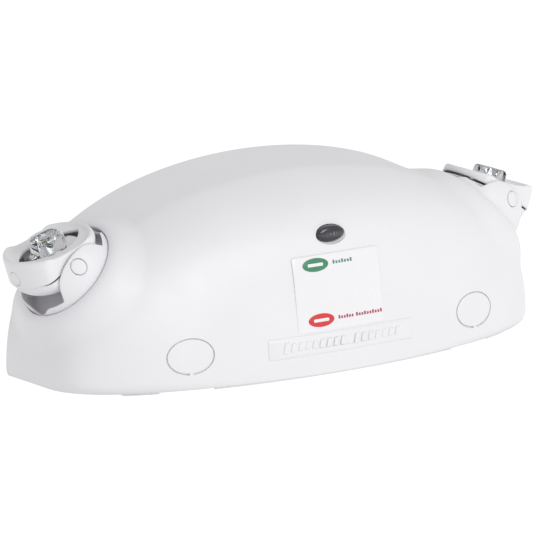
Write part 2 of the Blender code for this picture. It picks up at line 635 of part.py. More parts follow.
def add_head(side, tilt):
    outer = [(0, 7.0), (12, 7.3), (19.5, 8.0), (22.6, 9.3), (23.7, RIM_HEIGHT), (24.7, 9.3)]
    outer += [(25.2, 8.2), (HEAD_RADIUS, 2), (HEAD_RADIUS, -9), (0, -9)]
    bezel = add_object(f"lamp_bezel_{side}", revolve(outer[::-1], 30), "white_plastic", tilt)
    combine(bezel, slab(HEAD_FLAT), "INTERSECT")
    cavity = [(0, -12), (23.8, -12), (23.8, 5.0), (21.5, 6.0), (18, 5.7), (0, 5.4)]
    hollow = add_object("hollow", revolve(cavity, 24), None, tilt)
    combine(hollow, slab(HEAD_FLAT - HEAD_WALL), "INTERSECT")
    combine(bezel, hollow.data)
    bpy.data.objects.remove(hollow, do_unlink=True)
    combine(bezel, prism(eye(EYE_HALF_LENGTH, EYE_HALF_WIDTH), 0.0, 20.0))
    lean = Matrix.Rotation(math.radians(PARTING_LEAN), 4, "Y")
    combine(bezel, block((-50, -50, -40), (50, 50, 0.5)), matrix=lean)
    across = Matrix.Rotation(math.pi / 2, 4, "Y")
    combine(bezel, disc(PLUG_RADIUS + 0.3, 15.0, 40.0, 24), matrix=across)
    combine(bezel, disc(PIN_RADIUS + 0.3, -40.0, 40.0, 20), matrix=along_y())
    paint(bezel, "white_plastic")
    plug = add_object(f"bezel_plug_{side}", disc(PLUG_RADIUS, 22.6, 25.9, 24), "white_plastic", tilt)
    plug.matrix_basis = across

    bullet = [(0, -BULLET_DEPTH)]
    cup = [(0, -BULLET_DEPTH + HEAD_WALL)]
    for k in range(1, 6):
        angle = math.pi / 2 * k / 5
        bullet.append((24.9 * math.sin(angle), -0.5 - (BULLET_DEPTH - 0.5) * math.cos(angle)))
        cup.append((23.2 * math.sin(angle), -0.5 - (BULLET_DEPTH - 0.5 - HEAD_WALL) * math.cos(angle)))
    bullet.append((0, -0.5))
    cup += [(23.2, 2.0), (0, 2.0)]
    shell = add_object(f"rear_shell_{side}", revolve(bullet, 28), "white_plastic", tilt)
    shell.matrix_basis = lean
    combine(shell, slab(HEAD_FLAT), "INTERSECT")
    hollow = add_object("hollow", revolve(cup, 24), None, tilt)
    combine(hollow, slab(HEAD_FLAT - HEAD_WALL), "INTERSECT")
    combine(shell, hollow.data)
    bpy.data.objects.remove(hollow, do_unlink=True)
    combine(shell, disc(3.0, -30.0, 0.0, 16))
    combine(shell, disc(PIN_RADIUS + 0.3, -40.0, 40.0, 20), matrix=along_y())
    paint(shell, "white_plastic")

    dish = [(17.9, 4.9), (17.1, 4.9), (8.0, -3.5), (8.6, -4.0)]
    add_object(f"reflector_{side}", revolve(dish, 32, ring=True), "bright_metal", tilt)
    corners = [(9.5, 5.2), (7.5, 7.25), (-7.5, 7.25), (-9.5, 5.2), (-9.5, -5.2), (-7.5, -7.25), (7.5, -7.25), (9.5, -5.2)]
    optic = add_object(f"lamp_optic_{side}", prism(corners, 1.0, 14.0, 0.86), None, tilt)
    combine(optic, disc(6.0, -2.0, 1.6, 20), "UNION")
    paint(optic, "clear_plastic")
    add_object(f"led_board_{side}", disc(7.4, -3.5, -2.4, 24), "green_board", tilt)
    add_object(f"heat_sink_{side}", disc(7.4, -9.0, -3.8, 24), "bright_metal", tilt)


def add_lamp(side, sign):
    seat = add_empty(f"swivel_axis_{side}", lamp_frame(sign, SEAT_LEAN, SEAT_CENTRE))
    lean = Matrix.Rotation(math.radians(HEAD_LEAN - SEAT_LEAN), 4, "Y")
    tilt = add_empty(f"tilt_axis_{side}", Matrix.Translation((0, 0, PIVOT_HEIGHT * MM)) @ lean, seat)
    bpy.context.view_layer.update()
    add_swivel_base(side, seat)
    add_head(side, tilt)


# ---- inside layout -------------------------------------------------------
PLATE = 2.5                             # thickness of the back plate and its tray
PLATE_PLAY = 1.6                        # play of the back plate inside the cover
TABS = ((-78.8, 78.8), (110.0, 127.4), (-127.4, -110.0))
BOARD_BACK = 10.0                       # top of the board posts, from the wall
BOARD_BOX = (12.0, 9.0, 92.0, 63.0)
BOARD_POSTS = ((16.0, 60.0), (88.0, 60.0), (42.0, 12.0), (88.0, 12.0))
BATTERY_LOW = (-103.0, -51.0, 4.0)
BATTERY_HIGH = (-2.0, -4.0, 74.0)
STRAP_HEIGHT = 39.0
STRAP_SCREWS = (-108.5, 3.5)
CABLE_HOLE = (8.0, 82.0)
KEYHOLES = ((-60.0, 84.0), (60.0, 84.0))
INDICATOR_SCREW_Z = 64.0
PLUNGER_X = -3.0
LED_X = 6.5
TROUGH_FLOOR = -2.7                     # the base's rim between its arms
TROUGH_RISE = 18.9
PLUG_RADIUS = 3.8


def build():
    clear_scene()
    cover = add_front_cover()
    add_back_plate()
    add_face_pieces()
    add_test_button()
    add_indicator_board(cover)
    paint(cover, "white_plastic")
    add_main_board()
    add_battery()
    for side, sign in (("right", 1), ("left", -1)):
        add_lamp(side, sign)
    for thing in bpy.data.objects:
        if thing.parent is None:
            thing.location.z -= ORIGIN_HEIGHT * MM
    bpy.context.view_layer.update()


build()
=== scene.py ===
"""Wall emergency light unit: the detailed visual model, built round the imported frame.

Lengths here are millimetres with z = 0 at the cover's bottom edge, as in the CAD source.
WORLD turns them into the frame's metres, whose origin is ORIGIN_HEIGHT above that edge.
"""
import json
import math

import bmesh
import bpy
import numpy as np
from mathutils import Matrix, Vector


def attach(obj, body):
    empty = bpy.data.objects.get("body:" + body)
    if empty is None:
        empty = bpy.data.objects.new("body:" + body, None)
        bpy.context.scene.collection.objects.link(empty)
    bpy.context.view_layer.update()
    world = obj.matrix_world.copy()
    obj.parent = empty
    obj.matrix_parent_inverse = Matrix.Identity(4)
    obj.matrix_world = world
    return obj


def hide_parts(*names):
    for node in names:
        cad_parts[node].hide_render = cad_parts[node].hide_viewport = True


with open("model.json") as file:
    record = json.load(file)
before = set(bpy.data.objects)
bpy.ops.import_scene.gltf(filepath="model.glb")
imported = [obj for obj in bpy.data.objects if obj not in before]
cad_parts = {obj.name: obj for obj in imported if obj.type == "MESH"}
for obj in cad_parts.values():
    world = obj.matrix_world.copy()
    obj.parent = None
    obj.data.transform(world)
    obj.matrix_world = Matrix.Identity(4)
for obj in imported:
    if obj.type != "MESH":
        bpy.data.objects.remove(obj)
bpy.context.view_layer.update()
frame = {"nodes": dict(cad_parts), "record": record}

# ---- sizes shared with the CAD -------------------------------------------
ORIGIN_HEIGHT = 45.0
HALF_WIDTH = 155.8
BOTTOM_HALF_WIDTH = 153.9
HEIGHT_WALL = 105.8
HEIGHT_CREASE = 101.8
CREASE_DEPTH = 43.2
SIDE_DEPTH = 37.8
TOTAL_DEPTH = 95.6
FACE_LEAN = 0.14
BROW_POWER = 7.4
ARCH_POWER = 2.7
PLAN_POWER = 2.9
BOTTOM_PLAN_POWER = 2.2
PLAIN_DEPTH = 65.0
FOOT_POWER = 1.7
CURL_HEIGHT = 6.5
WALL = 2.5
GAP = 0.4

SEAT_CENTRE = (136.7, -29.4, 60.8)
SEAT_LEAN = 48.0
HEAD_LEAN = 18.7
BASE_RADIUS = 28.1
PIVOT_HEIGHT = 11.7
CUP_DEPTH = 10.0
CUP_FLOOR = 8.5
CUP_INNER = 26.3
ARM_INNER = 21.6
NECK_RADIUS = 9.6
NECK_LENGTH = 6.0
BLEND = 15.0
HEAD_RADIUS = 25.4
HEAD_FLAT = 20.0
HEAD_WALL = 1.6
PARTING_LEAN = 13.0
BULLET_DEPTH = 15.0
EYE_HALF_LENGTH = 20.0
EYE_HALF_WIDTH = 12.0
PIN_RADIUS = 2.5
PIN_HEAD_RADIUS = 4.05
PLUG_RADIUS = 3.8
TROUGH_FLOOR = -2.7
TROUGH_RISE = 18.9

BUTTON_HEIGHT = 73.0
BUTTON_HALF = (9.1, 4.4)
KNOCKOUT_AT = (95.0, 18.7)
KNOCKOUT_HALF = (13.8, 9.5)
LABEL_BOX = (-28.5, 22.7, 28.5, 63.2)
BADGE_BOX = (-48.4, 10.8, 48.4, 21.9)

PLATE = 2.5
PLATE_PLAY = 1.6
TABS = ((-78.8, 78.8), (110.0, 127.4), (-127.4, -110.0))
STRAP_HEIGHT = 39.0
STRAP_SCREWS = (-108.5, 3.5)
CABLE_HOLE = (8.0, 82.0)
KEYHOLES = ((-60.0, 84.0), (60.0, 84.0))

# ---- sizes of the visual model alone -------------------------------------
LAND_FLAT = 29.5            # radius of the flat land round a lamp's seat
CREASE_SOFT = 3.0           # half width of the soft crease
RIM_SOFT = 0.8              # rounding of a seat's rim
VOXEL = 0.5                 # grid step of the lamp shells
PARTING_GAP = 0.5           # half width of the slot between bezel and rear shell
LEAD_HOLE_RADIUS = 4.0      # hole for the leads, down through the base's neck
PIN_PLAY = 0.3              # clearance round a pivot pin
MARK_CURVE = 0.022          # how fast the marks on the button fall away from its centre
POCKET_FLOOR = -(CUP_DEPTH + GAP)
SHEET_LIFT = 0.02           # gap between the face and the sheets that lie on it
LABEL_LIFT = 0.24           # top of the label film above the face
BADGE_LIFT = 0.5            # top of the badge panel above the face
BADGE_SLANT = 0.28          # slant of the bars on the badge
BADGE_BARS = 17
BADGE_PITCH = 4.65
BADGE_SPACE = 9             # the bar that is left out, as a space between two words

# shallow recesses and round bosses moulded into the wall side
RECESSES = ((-124, 10, -66, 58), (-58, 10, 58, 58), (66, 10, 124, 58), (-46, 66, -8, 96), (24, 66, 46, 96))
BOSSES = ((-95, 34), (95, 34), (0, 34))

# floor, light and camera, in metres and degrees
FLOOR_SIZE = 12.0
FLOOR_HEIGHT = -0.42
KEY_PLACE = (0.35, -1.95, 0.95)
KEY_SIZE = 1.1
KEY_POWER = 13.5
WORLD_STRENGTH = 0.70
CAMERA_AZIMUTH = -36.0
CAMERA_ELEVATION = 12.7
CAMERA_DISTANCE = 4.0
CAMERA_LENS = 497.6

WORLD = Matrix.Scale(0.001, 4) @ Matrix.Translation((0, 0, -ORIGIN_HEIGHT))


# ---- materials -----------------------------------------------------------
def node_of(tree, kind, **values):
    node = tree.nodes.new(kind)
    for name, value in values.items():
        node.inputs[name.replace("_", " ")].default_value = value
    return node


def noise_of(tree, coordinates, scale, detail=3.0):
    noise = node_of(tree, "ShaderNodeTexNoise", Scale=scale, Detail=detail)
    tree.links.new(coordinates, noise.inputs["Vector"])
    return noise.outputs["Fac"]


def ramp_of(tree, factor, low, high, start=0.3, end=0.7):
    """Maps a texture to a range of greys or colours."""
    ramp = tree.nodes.new("ShaderNodeValToRGB")
    first, last = ramp.color_ramp.elements
    first.position, last.position = start, end
    first.color = (*low, 1.0) if isinstance(low, tuple) else (low, low, low, 1.0)
    last.color = (*high, 1.0) if isinstance(high, tuple) else (high, high, high, 1.0)
    tree.links.new(factor, ramp.inputs["Fac"])
    return ramp.outputs["Color"]


def shade(colour, amount):
    return tuple(min(1.0, c * amount) for c in colour)


def material(name, colour, roughness=(0.35, 0.5), metallic=0.0, grain=1500.0, bump=0.00002,
             drift=0.03, cloud=28.0, **extra):
    """Moulded, printed or plated surface: clouded colour, uneven gloss and a fine grain."""
    result = bpy.data.materials.new(name)
    result.use_nodes = True
    tree = result.node_tree
    shader = tree.nodes["Principled BSDF"]
    place = tree.nodes.new("ShaderNodeTexCoord").outputs["Object"]
    clouds = noise_of(tree, place, cloud)
    tint = ramp_of(tree, clouds, shade(colour, 1 - drift), shade(colour, 1 + drift))
    tree.links.new(tint, shader.inputs["Base Color"])
    patches = noise_of(tree, place, cloud * 3.1)
    gloss = ramp_of(tree, patches, *roughness)
    tree.links.new(gloss, shader.inputs["Roughness"])
    bumps = node_of(tree, "ShaderNodeBump", Strength=1.0, Distance=bump)
    tree.links.new(noise_of(tree, place, grain, 2.0), bumps.inputs["Height"])
    tree.links.new(bumps.outputs["Normal"], shader.inputs["Normal"])
    shader.inputs["Metallic"].default_value = metallic
    for key, value in extra.items():
        shader.inputs[key.replace("_", " ")].default_value = value
    return result


def board_material(name):
    """Solder mask over copper tracks: two crossed bands of tracks on green."""
    result = material(name, (0.02, 0.13, 0.05), (0.3, 0.42), grain=3000.0, bump=0.00001)
    tree = result.node_tree
    shader = tree.nodes["Principled BSDF"]
    place = tree.nodes.new("ShaderNodeTexCoord").outputs["Object"]
    bricks = node_of(tree, "ShaderNodeTexBrick", Scale=260.0, Mortar_Size=0.03)
    bricks.inputs["Color1"].default_value = (0.018, 0.11, 0.045, 1)
    bricks.inputs["Color2"].default_value = (0.022, 0.14, 0.055, 1)
    bricks.inputs["Mortar"].default_value = (0.05, 0.24, 0.09, 1)
    turn = tree.nodes.new("ShaderNodeMapping")
    turn.inputs["Rotation"].default_value = (math.pi / 2, 0, 0)
    tree.links.new(place, turn.inputs["Vector"])
    tree.links.new(turn.outputs["Vector"], bricks.inputs["Vector"])
    tree.links.new(bricks.outputs["Color"], shader.inputs["Base Color"])
    return result


def banded_material(name, colour, scale, axis, **extra):
    """Stacked sheets or turns of wire: fine bands across one axis."""
    result = material(name, colour, **extra)
    tree = result.node_tree
    shader = tree.nodes["Principled BSDF"]
    place = tree.nodes.new("ShaderNodeTexCoord").outputs["Object"]
    waves = node_of(tree, "ShaderNodeTexWave", Scale=scale, Distortion=0.6, Detail=1.0)
    waves.bands_direction = axis
    tree.links.new(place, waves.inputs["Vector"])
    tint = ramp_of(tree, waves.outputs["Fac"], shade(colour, 0.55), shade(colour, 1.2), 0.1, 0.6)
    tree.links.new(tint, shader.inputs["Base Color"])
    return result


def clear_material(name, colour, roughness):
    result = material(name, colour, (roughness, roughness * 2.2), grain=900.0, bump=0.000004, drift=0.01)
    shader = result.node_tree.nodes["Principled BSDF"]
    shader.inputs["Transmission Weight"].default_value = 1.0
    shader.inputs["IOR"].default_value = 1.49
    return result


WHITE = (0.80, 0.79, 0.815)
FINISH = {
    "white_plastic": material("moulded_white", WHITE, (0.36, 0.5), drift=0.012, bump=0.000016),
    "badge_plastic": material("badge_white", (0.81, 0.80, 0.82), (0.3, 0.42), drift=0.012, bump=0.00001),
    "button_plastic": material("smoked_button", (0.022, 0.019, 0.028), (0.12, 0.26), drift=0.35,
                               cloud=160.0, grain=2200.0, bump=0.000008, Coat_Weight=0.5,
                               Coat_Roughness=0.08),
    "label_film": material("label_film", (0.835, 0.83, 0.845), (0.22, 0.3), drift=0.008, grain=2600.0,
                           bump=0.000006),
    "clear_plastic": clear_material("clear_acrylic", (0.93, 0.94, 0.96), 0.015),
    "black_plastic": material("black_plastic", (0.016, 0.016, 0.018), (0.35, 0.5), drift=0.15),
    "grey_plastic": material("grey_plastic", (0.28, 0.28, 0.31), (0.35, 0.48)),
    "green_board": board_material("circuit_board"),
    "bright_metal": material("bright_metal", (0.78, 0.78, 0.79), (0.12, 0.24), 1.0, grain=1200.0,
                             bump=0.000006),
    "steel": material("zinc_steel", (0.55, 0.55, 0.56), (0.28, 0.42), 1.0, drift=0.08, cloud=90.0),
    "core_steel": banded_material("laminated_steel", (0.2, 0.19, 0.19), 420.0, "Y", metallic=1.0),
    "copper": banded_material("wound_copper", (0.6, 0.26, 0.11), 300.0, "Y", metallic=0.8),
    "brass": material("brass_tab", (0.75, 0.56, 0.22), (0.22, 0.36), 1.0, drift=0.06, cloud=120.0),
    "battery_plastic": material("battery_case", (0.045, 0.05, 0.065), (0.4, 0.55), drift=0.12),
}


def ink(name, colour, drift, cloud, bump=0.000005):
    return material(name, colour, (0.3, 0.42), drift=drift, cloud=cloud, bump=bump)


GREEN_INK = ink("green_ink", (0.052, 0.235, 0.125), 0.05, 140.0)
RED_INK = ink("red_ink", (0.66, 0.035, 0.042), 0.05, 140.0)
GREEN_TEXT = ink("green_bar_ink", (0.13, 0.27, 0.21), 0.08, 200.0)
RED_TEXT = ink("red_bar_ink", (0.42, 0.07, 0.13), 0.08, 200.0)
WHITE_INK = ink("white_ink", (0.84, 0.85, 0.84), 0.03, 200.0)
GREY_RELIEF = material("grey_relief", (0.21, 0.2, 0.235), (0.2, 0.32), drift=0.2, cloud=300.0,
                       bump=0.000008)
LED_FACE = material("led_phosphor", (0.85, 0.74, 0.30), (0.3, 0.4), drift=0.06, cloud=300.0,
                    bump=0.000006)


# ---- pieces --------------------------------------------------------------
def finish_piece(name, mesh, finish, body, replaced=(), angle=38.0):
    """Puts a mesh, already in the frame's metres, on a body of the frame."""
    mesh.name = name
    shape = bmesh.new()
    shape.from_mesh(mesh)
    bmesh.ops.recalc_face_normals(shape, faces=shape.faces)
    shape.to_mesh(mesh)
    shape.free()
    mesh.shade_smooth()
    mesh.set_sharp_from_angle(angle=math.radians(angle))
    mesh.materials.clear()
    mesh.materials.append(finish)
    piece = bpy.data.objects.new(name, mesh)
    bpy.context.scene.collection.objects.link(piece)
    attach(piece, body)
    if replaced:
        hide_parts(*replaced)
    return piece


def mesh_of(points, faces, matrix=None):
    mesh = bpy.data.meshes.new("shape")
    mesh.from_pydata([tuple(p) for p in points], [], faces)
    if matrix:
        mesh.transform(matrix)
    return mesh


def temporary(mesh):
    thing = bpy.data.objects.new("temporary", mesh)
    bpy.context.scene.collection.objects.link(thing)
    return thing


def applied(thing):
    """The mesh of an object with its modifiers applied; the object is removed."""
    bpy.context.view_layer.update()
    evaluated = thing.evaluated_get(bpy.context.evaluated_depsgraph_get())
    mesh = bpy.data.meshes.new_from_object(evaluated)
    bpy.data.objects.remove(thing, do_unlink=True)
    return mesh


def combine(mesh, tool_mesh, operation="DIFFERENCE"):
    thing = temporary(mesh)
    tool = temporary(tool_mesh)
    modifier = thing.modifiers.new("combine", "BOOLEAN")
    modifier.operation = operation
    modifier.solver = "EXACT"
    modifier.object = tool
    result = applied(thing)
    bpy.data.objects.remove(tool, do_unlink=True)
    return result


def outward(mesh):
    """Faces of a closed mesh turned outwards, so that it can be cut or joined."""
    shape = bmesh.new()
    shape.from_mesh(mesh)
    bmesh.ops.recalc_face_normals(shape, faces=shape.faces)
    if shape.calc_volume(signed=True) < 0:
        bmesh.ops.reverse_faces(shape, faces=shape.faces)
    shape.to_mesh(mesh)
    shape.free()
    return mesh


def loft(rings, closed_ends=True, matrix=None):
    """A closed body through rings with the same number of points."""
    points, faces = [], []
    count = len(rings[0])
    for row in rings:
        points.extend(row)
    for row in range(len(rings) - 1):
        for k in range(count):
            n = (k + 1) % count
            a = row * count
            faces.append([a + k, a + n, a + count + n, a + count + k])
    if closed_ends:
        faces.append(list(range(count))[::-1])
        faces.append(list(range((len(rings) - 1) * count, len(rings) * count)))
    return outward(mesh_of(points, faces, matrix))


def revolve(profile, steps=64, ring=False, matrix=None):
    """A turned body about Z from pairs of radius and height."""
    angles = [2 * math.pi * k / steps for k in range(steps)]
    rings = []
    for radius, height in profile:
        radius = max(radius, 0.001)
        rings.append([(radius * math.cos(a), radius * math.sin(a), height) for a in angles])
    if ring:
        rings.append(rings[0])
        mesh = loft(rings, False)
        shape = bmesh.new()
        shape.from_mesh(mesh)
        bmesh.ops.remove_doubles(shape, verts=shape.verts, dist=1e-5)
        shape.to_mesh(mesh)
        shape.free()
    else:
        mesh = loft(rings)
    if matrix:
        mesh.transform(matrix)
    return outward(mesh)


def oval(half_x, half_y, steps=64):
    return [(half_x * math.cos(2 * math.pi * k / steps), half_y * math.sin(2 * math.pi * k / steps))
            for k in range(steps)]


def prism(outline, low, high, matrix=None):
    return loft([[(x, y, z) for x, y in outline] for z in (low, high)], matrix=matrix)


def arc(centre, radius, start, end, steps=6):
    """Points on a circular arc, angles in degrees."""
    result = []
    for k in range(steps + 1):
        angle = math.radians(start + (end - start) * k / steps)
        result.append((centre[0] + radius * math.cos(angle), centre[1] + radius * math.sin(angle)))
    return result


# ---- the housing's surface -----------------------------------------------
def profile_depth(z, inset=0.0):
    """Distance of the face from the wall on the centre line, at a height."""
    top = HEIGHT_CREASE - inset
    front = TOTAL_DEPTH - inset
    brow = front - CREASE_DEPTH - FACE_LEAN * top
    return front - FACE_LEAN * z - brow * np.power(np.clip(z / top, 0, None), BROW_POWER)


def hard_arch_height(depth, inset=0.0):
    depth = np.asarray(depth, float)
    slope = (HEIGHT_CREASE - HEIGHT_WALL) / CREASE_DEPTH
    behind = HEIGHT_WALL + slope * depth - inset
    low = np.zeros_like(depth)
    high = np.full_like(depth, HEIGHT_CREASE - inset)
    for _ in range(40):
        middle = (low + high) / 2
        above = profile_depth(middle, inset) > depth
        low = np.where(above, middle, low)
        high = np.where(above, high, middle)
    return np.where(depth <= CREASE_DEPTH, behind, low)


def arch_height(depth, inset=0.0, soft=0.0):
    """Height of the arch at a distance from the wall, with a softened crease."""
    depth = np.asarray(depth, float)
    if not soft:
        return hard_arch_height(depth, inset)
    reach = np.minimum(soft, np.abs(TOTAL_DEPTH - inset - depth))
    shifts = np.linspace(-1, 1, 9)
    return np.mean([hard_arch_height(depth + reach * s, inset) for s in shifts], axis=0)


def half_width(depth, inset=0.0, bottom=False):
    reach = np.clip((depth - SIDE_DEPTH) / (TOTAL_DEPTH - SIDE_DEPTH - inset), 0, 1)
    power = BOTTOM_PLAN_POWER if bottom else PLAN_POWER
    width = (BOTTOM_HALF_WIDTH if bottom else HALF_WIDTH) - inset
    return width * np.sqrt(np.clip(1 - reach ** power, 0, None))


def arch_power(depth):
    forward = np.clip((depth - PLAIN_DEPTH) / (TOTAL_DEPTH - PLAIN_DEPTH), 0, None)
    return ARCH_POWER - FOOT_POWER * forward ** 2


def face_depth(x, z):
    """Distance of the front surface from the wall, at x and z."""
    x, z = np.broadcast_arrays(np.asarray(x, float), np.asarray(z, float))
    low = np.zeros(x.shape)
    high = np.full(x.shape, TOTAL_DEPTH)
    for _ in range(34):
        middle = (low + high) / 2
        width = np.maximum(half_width(middle), 1e-6)
        height = np.maximum(hard_arch_height(middle), 1e-6)
        inside = (np.abs(x) / width) ** 2 + (np.maximum(z, 0) / height) ** arch_power(middle) < 1
        low = np.where(inside, middle, low)
        high = np.where(inside, high, middle)
    return low


def face_frame(x, z, lift=0.0):
    """A frame on the front surface: X across, Y up the face, Z outwards."""
    near = face_depth([x + 1, x - 1, x, x, x], [z, z, z + 1, z - 1, z])
    slope_x = (near[0] - near[1]) / 2
    slope_z = (near[2] - near[3]) / 2
    outwards = Vector((-slope_x, -1.0, -slope_z)).normalized()
    across = Vector((0, 0, 1)).cross(outwards).normalized()
    up = outwards.cross(across)
    turn = Matrix((across, up, outwards)).transposed().to_4x4()
    return Matrix.Translation(Vector((x, -near[4], z)) + outwards * lift) @ turn


def lamp_frame(side):
    """Frame of a lamp's seat: Z along the swivel axis, X outwards."""
    turn = Matrix.Rotation(math.radians(SEAT_LEAN), 4, "Y")
    if side < 0:
        turn = Matrix.Rotation(math.pi, 4, "Z") @ turn
    return Matrix.Translation((side * SEAT_CENTRE[0], SEAT_CENTRE[1], SEAT_CENTRE[2])) @ turn


def tilt_frame(side):
    lean = Matrix.Rotation(math.radians(HEAD_LEAN - SEAT_LEAN), 4, "Y")
    return lamp_frame(side) @ Matrix.Translation((0, 0, PIVOT_HEIGHT)) @ lean


def land(points):
    """Moves surface points onto the flat land round the nearer lamp seat."""
    side = np.where(points[:, 0] > 0, 1.0, -1.0)
    lean = math.radians(SEAT_LEAN)
    axis = np.stack([side * math.sin(lean), 0 * side, 0 * side + math.cos(lean)], axis=1)
    centre = np.stack([side * SEAT_CENTRE[0], 0 * side + SEAT_CENTRE[1], 0 * side + SEAT_CENTRE[2]], axis=1)
    offset = points - centre
    height = np.sum(offset * axis, axis=1)
    radius = np.linalg.norm(offset - axis * height[:, None], axis=1)
    share = np.clip((BASE_RADIUS + BLEND - radius) / (BASE_RADIUS + BLEND - LAND_FLAT), 0, 1)
    share = share * share * (3 - 2 * share)
    return points - axis * (height * share)[:, None]


def dome(inset, rows, columns, overhang=0.0, with_land=False, soft=0.0):
    """The housing's solid, shrunk by inset and open past the wall by overhang."""
    front = TOTAL_DEPTH - inset
    behind = int(rows * 0.3)
    depths = np.concatenate([
        np.linspace(0, SIDE_DEPTH, behind, endpoint=False),
        SIDE_DEPTH + (front - SIDE_DEPTH) * np.sin(np.pi / 2 * np.arange(rows - behind) / (rows - behind)),
    ])
    foot = columns // 12
    low_angles = np.arcsin((0.07 * np.arange(foot) / foot) ** (ARCH_POWER / 2))
    start = np.arcsin(0.07 ** (ARCH_POWER / 2))
    half = columns // 2 - foot
    upper = start + (math.pi / 2 - start) * (np.arange(half + 1) / half) ** 0.92
    angles = np.concatenate([low_angles, upper])
    angles = np.concatenate([angles, (math.pi - angles[:-1])[::-1]])
    stride = len(angles)

    depth = depths[:, None]
    width = half_width(depth, inset)
    bottom = half_width(depth, inset, bottom=True)
    height = arch_height(depth, inset, soft)
    curl = np.minimum(CURL_HEIGHT, 0.4 * height)
    x = width * np.cos(angles)[None, :]
    z = height * np.clip(np.sin(angles)[None, :], 0, None) ** (2 / arch_power(depth))
    tuck = 1 - np.sqrt(np.clip(1 - (1 - np.minimum(z / curl, 1)) ** 2, 0, 1))
    x = x * (1 - tuck * (1 - bottom / width))
    y = np.broadcast_to(-depth, x.shape)
    points = np.stack([x, y, z], axis=2).reshape(-1, 3)
    if with_land:
        points = land(points)
    grid = points.reshape(len(depths), stride, 3)
    if overhang:
        grid[0, :, 1] = overhang
        grid[:, 0, 2] = -overhang
        grid[:, -1, 2] = -overhang
    points = [tuple(p) for p in grid.reshape(-1, 3)]
    faces = []
    for row in range(len(depths) - 1):
        base = row * stride
        for column in range(stride - 1):
            a = base + column
            faces.append([a, a + 1, a + stride + 1, a + stride])
        faces.append([base + stride - 1, base, base + stride, base + 2 * stride - 1])
    faces.append(list(range(stride)))
    tip = len(points)
    points.append((0.0, -front, -overhang))
    last = (len(depths) - 1) * stride
    for column in range(stride - 1):
        faces.append([last + column, last + column + 1, tip])
    faces.append([last + stride - 1, last, tip])
    return outward(mesh_of(points, faces))


# ---- housing -------------------------------------------------------------
def knockout_cutter(side):
    """An open oval groove: wide below, thin above, with an uncut bridge at the bottom."""
    steps = 72
    bridge = math.radians(4.5)
    rings = []
    for k in range(steps + 1):
        angle = -math.pi / 2 + bridge + (2 * math.pi - 2 * bridge) * k / steps
        wide = 0.34 + 0.16 * (1 - math.sin(angle)) / 2
        across = Vector((math.cos(angle), math.sin(angle)))
        middle = Vector((across.x * KNOCKOUT_HALF[0], across.y * KNOCKOUT_HALF[1]))
        normal = Vector((across.x / KNOCKOUT_HALF[0], across.y / KNOCKOUT_HALF[1])).normalized()
        row = []
        for offset, height in ((-wide, -1.5), (wide, -1.5), (wide, -0.3), (wide + 0.35, 0.3),
                               (wide + 0.35, 2.0), (-wide - 0.35, 2.0), (-wide - 0.35, 0.3), (-wide, -0.3)):
            spot = middle + normal * offset
            row.append((spot.x, spot.y, height))
        rings.append(row)
    return loft(rings, matrix=face_frame(side * KNOCKOUT_AT[0], KNOCKOUT_AT[1]))


def button_place():
    return Vector((0.0, -float(face_depth(0, BUTTON_HEIGHT)), BUTTON_HEIGHT))


def facing_front(place):
    """Turns a shape raised along Z so that it is raised towards -Y, with its Y upwards."""
    return Matrix.Translation(place) @ Matrix.Rotation(math.pi / 2, 4, "X")


def add_cover():
    mesh = dome(0.0, 110, 264, with_land=True, soft=CREASE_SOFT)
    hollow = dome(WALL, 40, 96, overhang=5.0)
    wall = BASE_RADIUS + 2.1
    for side in (1, -1):
        plug = [(0, POCKET_FLOOR - 2), (wall, POCKET_FLOOR - 2), (wall, 60), (0, 60)]
        hollow = combine(hollow, revolve(plug, 72, matrix=lamp_frame(side)))
    mesh = combine(mesh, hollow)
    pocket = BASE_RADIUS + GAP
    profile = [(0, POCKET_FLOOR), (pocket, POCKET_FLOOR)]
    profile += arc((pocket + RIM_SOFT, -RIM_SOFT), RIM_SOFT + 0.02, 180, 90, 5)
    profile += [(pocket + RIM_SOFT, 40), (0, 40)]
    for side in (1, -1):
        mesh = combine(mesh, revolve(profile, 120, matrix=lamp_frame(side)))
        neck = [(0, POCKET_FLOOR - 6), (NECK_RADIUS + GAP, POCKET_FLOOR - 6), (NECK_RADIUS + GAP, 2), (0, 2)]
        mesh = combine(mesh, revolve(neck, 48, matrix=lamp_frame(side)))
        mesh = combine(mesh, knockout_cutter(side))
    rings = []
    for grow, height in ((0.3, -20.0), (0.3, -0.9), (0.42, -0.45), (0.75, 0.0), (1.3, 0.5), (1.3, 12.0)):
        rings.append([(a, b, height) for a, b in oval(BUTTON_HALF[0] + grow, BUTTON_HALF[1] + grow, 72)])
    mesh = combine(mesh, loft(rings, matrix=facing_front(button_place())))
    mesh.transform(WORLD)
    return finish_piece("cover_shell", mesh, FINISH["white_plastic"], "housing",
                        ["front_cover"], 32.0)


def bottom_depth(x, inset):
    share = np.minimum(1.0, np.abs(x) / (BOTTOM_HALF_WIDTH - inset))
    return SIDE_DEPTH + (TOTAL_DEPTH - SIDE_DEPTH - inset) * (1 - share ** 2) ** (1 / BOTTOM_PLAN_POWER)


def edge_strip(x0, x1, outer, inner, low, high, steps=30):
    """A strip that follows the front bottom edge between two insets."""
    across = np.linspace(x0, x1, steps + 1)
    outline = [(x, -float(bottom_depth(x, outer))) for x in across]
    outline += [(x, -float(bottom_depth(x, inner))) for x in across[::-1]]
    return prism(outline, low, high)


def upright(outline, back, front):
    """An outline in X and Z, raised along Y from back to front."""
    return outward(prism([(x, -z) for x, z in outline], back, front, Matrix.Rotation(-math.pi / 2, 4, "X")))


def post(x, z, radius, back, front, steps=40):
    return upright([(x + a, z + b) for a, b in oval(radius, radius, steps)], back, front)


